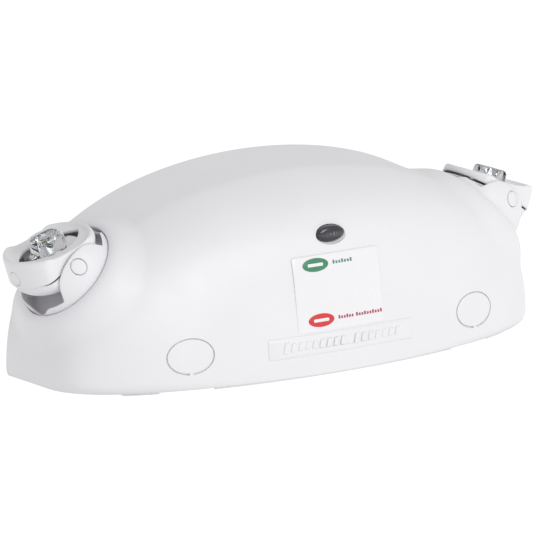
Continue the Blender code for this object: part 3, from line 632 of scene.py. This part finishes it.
def plate_outline(inset, floor, steps=96):
    outline = []
    for k in range(steps + 1):
        angle = math.pi * k / steps
        x = (BOTTOM_HALF_WIDTH - inset) * math.cos(angle)
        z = (HEIGHT_WALL - inset) * max(0.0, math.sin(angle)) ** (2 / ARCH_POWER)
        outline.append((x, max(z, floor)))
    return outline


def panel(x0, z0, x1, z1, corner, back, front):
    """A rectangle with rounded corners, raised along Y."""
    outline = []
    for cx, cz, start in ((x1 - corner, z1 - corner, 0), (x0 + corner, z1 - corner, 90),
                          (x0 + corner, z0 + corner, 180), (x1 - corner, z0 + corner, 270)):
        outline += arc((cx, cz), corner, start, start + 90, 6)
    return upright(outline, back, front)


def add_wall_plate():
    inset = WALL + PLATE_PLAY
    mesh = upright(plate_outline(inset, GAP + 0.7), -PLATE, 0.0)
    inset += 0.3
    edge = BOTTOM_HALF_WIDTH - inset
    curve = [edge * math.cos(math.pi * k / 72) for k in range(73)]
    tray = [(x, -float(bottom_depth(x, inset))) for x in curve]
    tray = [(edge, -PLATE / 2)] + tray + [(-edge, -PLATE / 2)]
    mesh = combine(mesh, prism(tray, GAP, GAP + PLATE), "UNION")
    for x0, x1 in TABS:
        mesh = combine(mesh, edge_strip(x0, x1, 4.8, 6.8, -0.8, GAP + 0.5), "UNION")
        mesh = combine(mesh, edge_strip(x0, x1, 1.6, 7.2, -1.3, -0.4), "UNION")
    wide, deep = BASE_RADIUS + 2.6, -CUP_DEPTH - 3.4
    for side in (1, -1):
        seat = [(0, deep), (wide, deep), (wide, 60), (0, 60)]
        mesh = combine(mesh, revolve(seat, 72, matrix=lamp_frame(side)))
    mesh = combine(mesh, post(*CABLE_HOLE, 9.5, -10.0, 5.0, 48))
    for x, z in KEYHOLES:
        slot = arc((x, z), 4.0, 118, 422, 24) + arc((x, z + 8), 1.9, 0, 180, 8)
        mesh = combine(mesh, upright(slot, -10.0, 5.0))
    for x in STRAP_SCREWS:
        mesh = combine(mesh, post(x, STRAP_HEIGHT, 1.5, -8.0, 3.0, 24))
    for x0, z0, x1, z1 in RECESSES:
        mesh = combine(mesh, panel(x0, z0, x1, z1, 4.0, -0.6, 3.0))
    for x, z in BOSSES:
        mesh = combine(mesh, post(x, z, 13.0, -1.1, 3.0, 64))
        mesh = combine(mesh, post(x, z, 11.8, -1.6, -0.6, 64), "UNION")
    groove = combine(post(*CABLE_HOLE, 13.5, -0.5, 3.0, 64), post(*CABLE_HOLE, 12.3, -5.0, 5.0, 64))
    mesh = combine(mesh, groove)
    mesh.transform(WORLD)
    return finish_piece("wall_plate", mesh, FINISH["white_plastic"], "housing",
                        ["back_plate"], 30.0)


def on_face(outline, lift):
    """A ring of x and z points, laid on the face at a lift."""
    x = np.array([p[0] for p in outline])
    z = np.array([p[1] for p in outline])
    return list(zip(x, -face_depth(x, z) - lift, z))


def grid_sheet(outlines, low, high):
    """A closed thin body on the face from nested outlines, outermost first, with a rounded edge."""
    lifts = [low, low + (high - low) * 0.6] + [high] * (len(outlines) - 2)
    front = [on_face(outline, lift) for outline, lift in zip(outlines, lifts)]
    back = [on_face(outline, low) for outline in outlines[:0:-1]]
    return loft(back + front)


def rounded_box(x0, z0, x1, z1, corner, steps=4, along=10):
    """Outline of a rectangle with rounded corners and divided sides, counter-clockwise."""
    corners = ((x1 - corner, z1 - corner, 0), (x0 + corner, z1 - corner, 90),
               (x0 + corner, z0 + corner, 180), (x1 - corner, z0 + corner, 270))
    outline = []
    for number, (cx, cz, start) in enumerate(corners):
        outline += arc((cx, cz), corner, start, start + 90, steps)
        nx, nz, turn = corners[(number + 1) % 4]
        angle = math.radians(turn)
        goal = (nx + corner * math.cos(angle), nz + corner * math.sin(angle))
        here = outline[-1]
        for k in range(1, along):
            outline.append((here[0] + (goal[0] - here[0]) * k / along,
                            here[1] + (goal[1] - here[1]) * k / along))
    return outline


def shrunk(outline, centre, amount):
    """Outline moved towards its centre by a fixed amount, or to the centre if that is nearer."""
    result = []
    for x, z in outline:
        dx, dz = x - centre[0], z - centre[1]
        result.append((centre[0] + math.copysign(max(abs(dx) - amount, 0.0), dx),
                       centre[1] + math.copysign(max(abs(dz) - amount, 0.0), dz)))
    return result


def add_sheet(name, outline, centre, low, high, finish, bevel=0.3, replaced=()):
    """A thin moulded or printed piece on the face, with a rounded edge."""
    sizes = [0.0, bevel * 0.3, bevel]
    half = min(max(abs(x - centre[0]) for x, _ in outline), max(abs(z - centre[1]) for _, z in outline))
    steps = max(2, int(half / 2.0))
    rings = [shrunk(outline, centre, size) for size in sizes]
    for k in range(1, steps):
        share = 1 - k / steps
        rings.append([(centre[0] + (x - centre[0]) * share, centre[1] + (z - centre[1]) * share)
                      for x, z in rings[2]])
    mesh = grid_sheet(rings, low, high)
    mesh.transform(WORLD)
    finish_piece(name, mesh, finish, "housing", replaced, 50.0)


def add_label():
    x0, z0, x1, z1 = LABEL_BOX
    centre = ((x0 + x1) / 2, (z0 + z1) / 2)
    outline = rounded_box(x0, z0, x1, z1, 1.5)
    add_sheet("label_sheet", outline, centre, SHEET_LIFT, LABEL_LIFT, FINISH["label_film"],
              0.25, ["status_label"])
    marks = (("green", GREEN_INK, GREEN_TEXT, (-13.7, 58.2), ((-2.6, 10.8),)),
             ("red", RED_INK, RED_TEXT, (-13.0, 28.6), ((-2.0, 8.6), (9.8, 28.0))))
    for name, ink, text_ink, (x, z), words in marks:
        outline = [(x + a, z + b) for a, b in oval(8.5, 3.6, 48)]
        add_sheet(f"{name}_oval", outline, (x, z), 0.26, 0.3, ink, 0.04)
        bar = rounded_box(x - 5.0, z - 0.85, x + 5.0, z + 0.85, 0.5, 3, 4)
        add_sheet(f"{name}_oval_bar", bar, (x, z), 0.31, 0.34, WHITE_INK, 0.04)
        number = 0
        for start, end in words:
            count = int((end - start) / 1.7)
            pitch = (end - start) / count
            half = pitch * 0.34
            for k in range(count):
                is_tall = (k * 5 + number) % 3 == 0
                high = 1.0 if is_tall else 0.75
                middle = (start + pitch * (k + 0.5), z + (0.25 if is_tall else 0.0))
                dash = rounded_box(middle[0] - half, middle[1] - high, middle[0] + half, middle[1] + high,
                                   0.25, 2, 2)
                add_sheet(f"{name}_dash_{number + k + 1:02d}", dash, middle, 0.26, 0.29, text_ink,
                          0.03)
            number += count


def add_badge():
    x0, z0, x1, z1 = BADGE_BOX
    centre = ((x0 + x1) / 2, (z0 + z1) / 2)
    outline = rounded_box(x0, z0, x1, z1, 1.6, 5, 16)
    add_sheet("badge_panel", outline, centre, SHEET_LIFT, BADGE_LIFT, FINISH["badge_plastic"],
              0.4, ["badge_plate"])
    for number in range(BADGE_BARS):
        if number == BADGE_SPACE:
            continue
        x = BADGE_PITCH * (number - (BADGE_BARS - 1) / 2)
        high = 3.1 if number in (0, BADGE_SPACE + 1) else 2.3
        bar = rounded_box(x - 1.35, centre[1] - high, x + 1.35, centre[1] + high, 0.5, 3, 4)
        bar = [(a + BADGE_SLANT * (b - centre[1]), b) for a, b in bar]
        add_sheet(f"badge_bar_{number + 1:02d}", bar, (x, centre[1]), BADGE_LIFT, 0.95,
                  FINISH["badge_plastic"], 0.35)


def add_button():
    place = facing_front(button_place())
    rows = ((10.5, 5.8, -8.2), (10.5, 5.8, -7.3), (9.1, 4.4, -7.3), (9.1, 4.4, -0.4), (8.95, 4.25, 0.2),
            (8.5, 3.95, 0.75), (7.4, 3.3, 1.15), (5.2, 2.2, 1.5), (2.6, 1.1, 1.66), (0.01, 0.01, 1.7))
    rings = [[(a, b, height) for a, b in oval(half_x, half_z, 64)] for half_x, half_z, height in rows]
    mesh = loft(rings, matrix=WORLD @ place)
    finish_piece("button_cap", mesh, FINISH["button_plastic"], "button", ["test_button"])
    marks = ((-3.3, 0.42, 1.15), (-1.1, 0.9, 0.36), (1.1, 0.42, 1.15), (3.3, 0.8, 0.8))
    for number, (x, half, tall) in enumerate(marks, 1):
        rings = []
        for grow, height in ((0.0, 0.9), (0.0, 1.62), (-0.12, 1.82)):
            outline = rounded_box(x - half - grow, -tall - grow, x + half + grow, tall + grow, 0.2, 3, 2)
            rings.append([(a, b, height - MARK_CURVE * a * a) for a, b in outline])
        mesh = loft(rings, matrix=WORLD @ place)
        finish_piece(f"button_mark_{number}", mesh, GREY_RELIEF, "button")


# ---- lamp shells as fields -----------------------------------------------
def soft_max(a, b, radius):
    bite = np.maximum(radius - np.abs(a - b), 0.0) / radius
    return np.maximum(a, b) + bite * bite * radius / 4


def soft_min(a, b, radius):
    return -soft_max(-a, -b, radius)


def field_mesh(field, low, high, matrix, step=VOXEL):
    """The surface where a field is zero: one vertex in each crossed cell, moved onto the surface."""
    axes = [np.arange(a, b + step, step) for a, b in zip(low, high)]
    grid = np.stack(np.meshgrid(*axes, indexing="ij"), axis=-1)
    values = field(grid[..., 0], grid[..., 1], grid[..., 2])
    inside = values < 0
    cells = tuple(n - 1 for n in values.shape)
    total = np.zeros((*cells, 3))
    count = np.zeros(cells)
    offsets = [(i, j, k) for i in (0, 1) for j in (0, 1) for k in (0, 1)]
    for start in offsets:
        for axis in range(3):
            if start[axis]:
                continue
            end = list(start)
            end[axis] = 1
            a = values[tuple(slice(s, s + n) for s, n in zip(start, cells))]
            b = values[tuple(slice(s, s + n) for s, n in zip(end, cells))]
            crossed = (a < 0) != (b < 0)
            share = np.where(crossed, a / np.where(a == b, 1.0, a - b), 0.0)
            point = np.zeros((*cells, 3))
            for i in range(3):
                point[..., i] = start[i] + (share if i == axis else 0.0)
            total += np.where(crossed[..., None], point, 0.0)
            count += crossed
    mixed = count > 0
    number = np.full(cells, -1)
    number[mixed] = np.arange(mixed.sum())
    corner = np.stack(np.nonzero(mixed), axis=1)
    points = np.array(low) + step * (corner + total[mixed] / count[mixed][:, None])
    quads = []
    for axis in range(3):
        first = [slice(None)] * 3
        second = [slice(None)] * 3
        first[axis] = slice(0, -1)
        second[axis] = slice(1, None)
        a, b = inside[tuple(first)], inside[tuple(second)]
        where = np.stack(np.nonzero(a != b), axis=1)
        flipped = a[tuple(where.T)]
        u, v = [i for i in range(3) if i != axis]
        good = np.ones(len(where), bool)
        for i in (u, v):
            good &= (where[:, i] > 0) & (where[:, i] < cells[i])
        where, flipped = where[good], flipped[good]
        around = []
        for du, dv in ((-1, -1), (0, -1), (0, 0), (-1, 0)):
            cell = where.copy()
            cell[:, u] += du
            cell[:, v] += dv
            around.append(number[tuple(cell.T)])
        quad = np.stack(around, axis=1)
        if axis == 1:
            flipped = ~flipped
        quads.append(np.where(flipped[:, None], quad, quad[:, ::-1]))
    quads = np.concatenate(quads)
    for _ in range(3):
        value = field(*points.T)
        slope = np.stack([(field(*(points + d).T) - field(*(points - d).T)) / 0.08
                          for d in np.eye(3) * 0.04], axis=1)
        size = np.maximum(np.sum(slope * slope, axis=1), 0.05)
        move = np.clip(value / size, -0.5 * step, 0.5 * step)
        points = points - slope * move[:, None]
    mesh = bpy.data.meshes.new("field")
    mesh.from_pydata(points.tolist(), [], quads.tolist())
    mesh.transform(WORLD @ matrix)
    return mesh


def base_field(x, y, z):
    """Swivel base: a ball cut by a bowl and a trough, so that two arms stand beside the head."""
    flat = np.hypot(x, y)
    body = np.sqrt(flat ** 2 + np.maximum(z, 0) ** 2) - BASE_RADIUS
    body = soft_max(body, -(z + CUP_DEPTH), 0.8)
    neck = np.maximum(np.maximum(flat - NECK_RADIUS, -(z + CUP_DEPTH + NECK_LENGTH)), z + CUP_DEPTH - 1.0)
    body = soft_min(body, neck, 0.6)
    bowl = flat - np.interp(z, (0.0, 4.0, PIVOT_HEIGHT), (CUP_INNER, CUP_INNER + 1.0, CUP_INNER + 1.7))
    bowl = soft_max(bowl, -(z + CUP_FLOOR), 2.5)
    bowl = soft_max(bowl, np.abs(y) - ARM_INNER + 1.1, 1.2)
    reach = np.minimum(np.abs(y) / ARM_INNER, 1.3)
    slope = TROUGH_RISE * 1.6 / ARM_INNER * reach ** 0.6
    trough = (TROUGH_FLOOR + TROUGH_RISE * reach ** 1.6 - z) / np.sqrt(1 + slope ** 2)
    trough = soft_max(trough, np.abs(y) - ARM_INNER, 2.5)
    body = soft_max(body, -soft_min(bowl, trough, 0.8), 1.3)
    body = np.where(z < 0, np.maximum(body, LEAD_HOLE_RADIUS - flat), body)
    around = np.hypot(x, z - PIVOT_HEIGHT)
    head_bore = np.maximum(around - PIN_HEAD_RADIUS - PIN_PLAY, 22.4 - np.abs(y))
    bore = np.minimum(around - PIN_RADIUS - PIN_PLAY, head_bore)
    return soft_max(body, -bore, 0.5)


def top_of_bezel(flat):
    """Height of the bezel's dished top at a distance from its axis."""
    return 6.9 + 1.3 * (flat / 21.0) ** 2 + 1.25 * np.exp(-((flat - 23.6) / 1.9) ** 2)


def below_parting(x, z):
    """Height above the slanted parting plane."""
    lean = math.radians(PARTING_LEAN)
    return z * math.cos(lean) + x * math.sin(lean)


def bezel_field(x, y, z):
    """Bezel: turned rim and dished top with a pointed oval window, flat on both sides."""
    flat = np.hypot(x, y)
    body = soft_max(z - top_of_bezel(flat), flat - HEAD_RADIUS, 2.6)
    body = soft_max(body, np.abs(y) - HEAD_FLAT, 1.6)
    cavity = soft_max(z - 5.2 - 0.0018 * flat ** 2, flat - 23.8, 2.0)
    cavity = soft_max(cavity, np.abs(y) - HEAD_FLAT + HEAD_WALL, 1.5)
    radius = (EYE_HALF_LENGTH ** 2 + EYE_HALF_WIDTH ** 2) / (2 * EYE_HALF_WIDTH)
    shift = radius - EYE_HALF_WIDTH
    window = np.maximum(np.hypot(x, y - shift), np.hypot(x, y + shift)) - radius
    window = np.maximum(window, -z)
    body = soft_max(body, -cavity, 0.5)
    body = soft_max(body, -window, 1.1)
    body = soft_max(body, PARTING_GAP - below_parting(x, z), 0.5)
    around = np.hypot(y, z)
    plug = np.maximum(around - PLUG_RADIUS - 0.22, 15 - x)
    body = soft_max(body, -plug, 0.4)
    pin = np.hypot(x, z) - PIN_RADIUS - PIN_PLAY
    return np.maximum(body, -pin)


def shell_field(x, y, z):
    """Rear shell below the parting plane: a half ellipsoid, flat on both sides, with a stop rib."""
    lean = math.radians(PARTING_LEAN)
    up = below_parting(x, z)
    along = x * math.cos(lean) - z * math.sin(lean)
    flat = np.hypot(along, y)
    deep = BULLET_DEPTH - 0.5

    def ellipsoid(wide, tall):
        drop = np.minimum(up + PARTING_GAP, 0.0)
        size = np.sqrt((flat / wide) ** 2 + (drop / tall) ** 2) + 1e-6
        slope = np.sqrt((flat / wide ** 2) ** 2 + (drop / tall ** 2) ** 2) / size + 1e-6
        return (size - 1) / slope

    body = ellipsoid(24.9, deep)
    rib = np.maximum(np.maximum(np.abs(y) - 1.4, np.hypot(x, z) - 19.4), 4.0 - along)
    body = soft_min(body, rib, 1.0)
    body = soft_max(body, np.abs(y) - HEAD_FLAT, 1.6)
    cavity = soft_max(ellipsoid(24.9 - HEAD_WALL, deep - HEAD_WALL), np.abs(y) - HEAD_FLAT + HEAD_WALL, 1.2)
    body = soft_max(body, -cavity, 0.5)
    rise = np.clip((along - 17.5) / 2.5, 0, 1)
    web = np.where(np.abs(along - 3.4) < 0.55, 0.7, 0.0)
    top = -PARTING_GAP + np.maximum(0.78 * rise * rise * (3 - 2 * rise), web)
    body = soft_max(body, up - top, 0.45)
    pin = np.hypot(x, z) - PIN_RADIUS - PIN_PLAY
    hole = np.maximum(np.hypot(along, y) - 3.0, up)
    return np.maximum(np.maximum(body, -pin), -hole)


def plug_field(x, y, z):
    """Round plug, flush with the bezel's outer side."""
    body = soft_max(np.hypot(y, z) - PLUG_RADIUS, np.hypot(x, y) - HEAD_RADIUS - 0.05, 0.6)
    return np.maximum(body, 22.6 - x)


def pin_field(x, y, z):
    """Pivot pin whose head follows the ball."""
    around = np.hypot(x, z - PIVOT_HEIGHT)
    ball = np.sqrt(x * x + y * y + z * z) - BASE_RADIUS - 0.12
    head = soft_max(np.maximum(around - PIN_HEAD_RADIUS, 22.7 - y), ball, 0.7)
    shaft = np.maximum(np.maximum(around - PIN_RADIUS, 17.6 - y), y - 24.0)
    return np.minimum(head, shaft)


def optic_mesh(matrix):
    """Clear light guide: a tapered block with broad chamfers, a hollow on top and a stem."""
    corners = ((9.5, 4.4), (6.6, 7.25), (-6.6, 7.25), (-9.5, 4.4), (-9.5, -4.4), (-6.6, -7.25),
               (6.6, -7.25), (9.5, -4.4))

    def row(scale, height):
        return [(a * scale, b * scale, height) for a, b in corners]

    sections = ((0.55, -1.8), (0.62, 0.6), (1.0, 1.4), (0.93, 12.0), (0.86, 13.4), (0.8, 13.9))
    thing = temporary(loft([row(scale, height) for scale, height in sections]))
    bevel = thing.modifiers.new("bevel", "BEVEL")
    bevel.width = 0.45
    bevel.segments = 3
    bevel.limit_method = "ANGLE"
    bevel.angle_limit = math.radians(25)
    mesh = applied(thing)
    valley = [[(a * s, b * s * 0.8, h) for a, b in oval(6.4, 4.6, 48)]
              for s, h in ((0.12, 6.6), (0.45, 8.6), (0.8, 11.6), (1.05, 14.6))]
    mesh = combine(mesh, loft(valley))
    mesh.transform(WORLD @ matrix)
    return mesh


def add_lamp(name, side):
    seat, tilt = lamp_frame(side), tilt_frame(side)
    base, head = f"lamp_base_{name}", f"lamp_head_{name}"
    white = FINISH["white_plastic"]
    reach = BASE_RADIUS + 1.0

    def shell(label, field, low, high, matrix, body, replaced, step=VOXEL, angle=60.0):
        mesh = field_mesh(field, low, high, matrix, step)
        finish_piece(f"{label}_{name}", mesh, white, body, [f"{replaced}_{name}"], angle)

    shell("lamp_yoke", base_field, (-reach, -reach, -17), (reach, reach, 29.5), seat, base, "swivel_base")
    shell("head_rim", bezel_field, (-26.5, -21, -7), (26.5, 21, 11), tilt, head, "lamp_bezel")
    shell("head_back", shell_field, (-26.5, -21, -21), (26.5, 21, 7), tilt, head, "rear_shell")
    shell("rim_plug", plug_field, (22, -4.6, -4.6), (26.5, 4.6, 4.6), tilt, head, "bezel_plug", 0.25)
    for place, sign in (("front", -side), ("rear", side)):
        turn = Matrix.Rotation(math.pi, 4, "Z") if sign < 0 else Matrix()
        low, high = (-5, 17, PIVOT_HEIGHT - 5), (5, 29, PIVOT_HEIGHT + 5)
        mesh = field_mesh(pin_field, low, high, seat @ turn, 0.25)
        finish_piece(f"pivot_cap_{place}_{name}", mesh, white, base,
                     [f"pivot_pin_{place}_{name}"], 60.0)
    finish_piece(f"light_guide_{name}", optic_mesh(tilt), FINISH["clear_plastic"], head,
                 [f"lamp_optic_{name}"], 30.0)
    dish = [(17.9, 4.9), (17.1, 4.9)]
    dish += [(8.0 + 9.1 * (1 - k / 10) ** 0.8, 4.9 - 8.4 * (k / 10) ** 1.1) for k in range(1, 11)]
    dish += [(8.6, -4.0)]
    dish += [(8.6 + 9.3 * (k / 10) ** 0.8, -4.0 + 8.9 * (k / 10) ** 1.35) for k in range(1, 10)]
    mesh = revolve(dish, 72, ring=True, matrix=WORLD @ tilt)
    finish_piece(f"mirror_bowl_{name}", mesh, FINISH["bright_metal"], head,
                 [f"reflector_{name}"], 30.0)
    chip = loft([[(a * s, b * s, h) for a, b in rounded_box(-2.4, -2.4, 2.4, 2.4, 0.6, 4, 2)]
                 for s, h in ((1.0, -2.39), (1.0, -2.1), (0.9, -1.95))], matrix=WORLD @ tilt)
    finish_piece(f"led_chip_{name}", chip, LED_FACE, head)


# ---- scene ---------------------------------------------------------------
def floor_painted_glow():
    """Pale floor with painted light: an emission glow, none near the object and rising away from it, so the
    far floor reads white while the floor near the object stays dimmer.
    """
    result = bpy.data.materials.new("floor_painted_glow")
    result.use_nodes = True
    tree = result.node_tree
    shader = tree.nodes["Principled BSDF"]
    shader.inputs["Base Color"].default_value = (0.82, 0.82, 0.82, 1.0)
    shader.inputs["Roughness"].default_value = 0.9
    shader.inputs["Specular IOR Level"].default_value = 0.1
    shader.inputs["Emission Color"].default_value = (1, 1, 1, 1)
    place = tree.nodes.new("ShaderNodeTexCoord").outputs["Object"]
    distance = tree.nodes.new("ShaderNodeVectorMath")
    distance.operation = "LENGTH"
    tree.links.new(place, distance.inputs[0])
    # painted light: the floor glows through emission, faintly near the object and more brightly away from it
    glow = tree.nodes.new("ShaderNodeMapRange")
    glow.interpolation_type = "SMOOTHSTEP"
    for name, value in (("From Min", 0.55), ("From Max", 1.15), ("To Min", 0.0), ("To Max", 0.5)):
        glow.inputs[name].default_value = value
    tree.links.new(distance.outputs["Value"], glow.inputs["Value"])
    tree.links.new(glow.outputs["Result"], shader.inputs["Emission Strength"])
    return result


def add_floor():
    size = FLOOR_SIZE
    mesh = bpy.data.meshes.new("floor")
    corners = [(-size, -size, 0), (size, -size, 0), (size, size, 0), (-size, size, 0)]
    mesh.from_pydata(corners, [], [(0, 1, 2, 3)])
    floor = bpy.data.objects.new("floor", mesh)
    floor.location.z = FLOOR_HEIGHT
    mesh.materials.append(floor_painted_glow())
    bpy.context.scene.collection.objects.link(floor)


def aim(thing, target):
    thing.rotation_euler = (Vector(target) - thing.location).to_track_quat("-Z", "Y").to_euler()


def add_light(name, place, target, size, power):
    data = bpy.data.lights.new(name, "AREA")
    data.shape = "DISK"
    data.size = size
    data.energy = power
    light = bpy.data.objects.new(name, data)
    light.location = place
    bpy.context.scene.collection.objects.link(light)
    aim(light, target)


def add_studio():
    world = bpy.data.worlds.new("studio")
    bpy.context.scene.world = world
    world.use_nodes = True
    sky = world.node_tree.nodes["Background"]
    sky.inputs["Color"].default_value = (1.0, 1.0, 1.0, 1.0)
    sky.inputs["Strength"].default_value = WORLD_STRENGTH
    add_light("key", KEY_PLACE, (0, -0.05, 0.0), KEY_SIZE, KEY_POWER)


def add_camera():
    azimuth, elevation = math.radians(CAMERA_AZIMUTH), math.radians(CAMERA_ELEVATION)
    towards = Vector((math.sin(azimuth) * math.cos(elevation), -math.cos(azimuth) * math.cos(elevation),
                      math.sin(elevation)))
    right = Vector((math.cos(azimuth), math.sin(azimuth), 0.0))
    up = towards.cross(right)
    look_at = Vector((0, -0.0859, -0.045)) - right * 0.0359 + up * 0.0532
    data = bpy.data.cameras.new("camera")
    data.sensor_width = 36.0
    data.lens = CAMERA_LENS
    data.clip_end = 60.0
    camera = bpy.data.objects.new("camera", data)
    camera.location = look_at + towards * CAMERA_DISTANCE
    camera.rotation_euler = (-towards).to_track_quat("-Z", "Y").to_euler()
    bpy.context.scene.collection.objects.link(camera)
    bpy.context.scene.camera = camera


def dress_nodes():
    """Gives every CAD node the finish of its record slot."""
    slots = {part["node"]: part["material_slot"] for part in frame["record"]["subparts"]}
    for name, thing in frame["nodes"].items():
        thing.data.materials.clear()
        thing.data.materials.append(FINISH[slots[name]])
        thing.data.shade_smooth()
        thing.data.set_sharp_from_angle(angle=math.radians(30))


dress_nodes()
add_cover()
add_wall_plate()
add_label()
add_badge()
add_button()
for lamp, sign in (("right", 1), ("left", -1)):
    add_lamp(lamp, sign)
add_floor()
add_studio()
add_camera()
bpy.context.scene.view_settings.view_transform = "Standard"
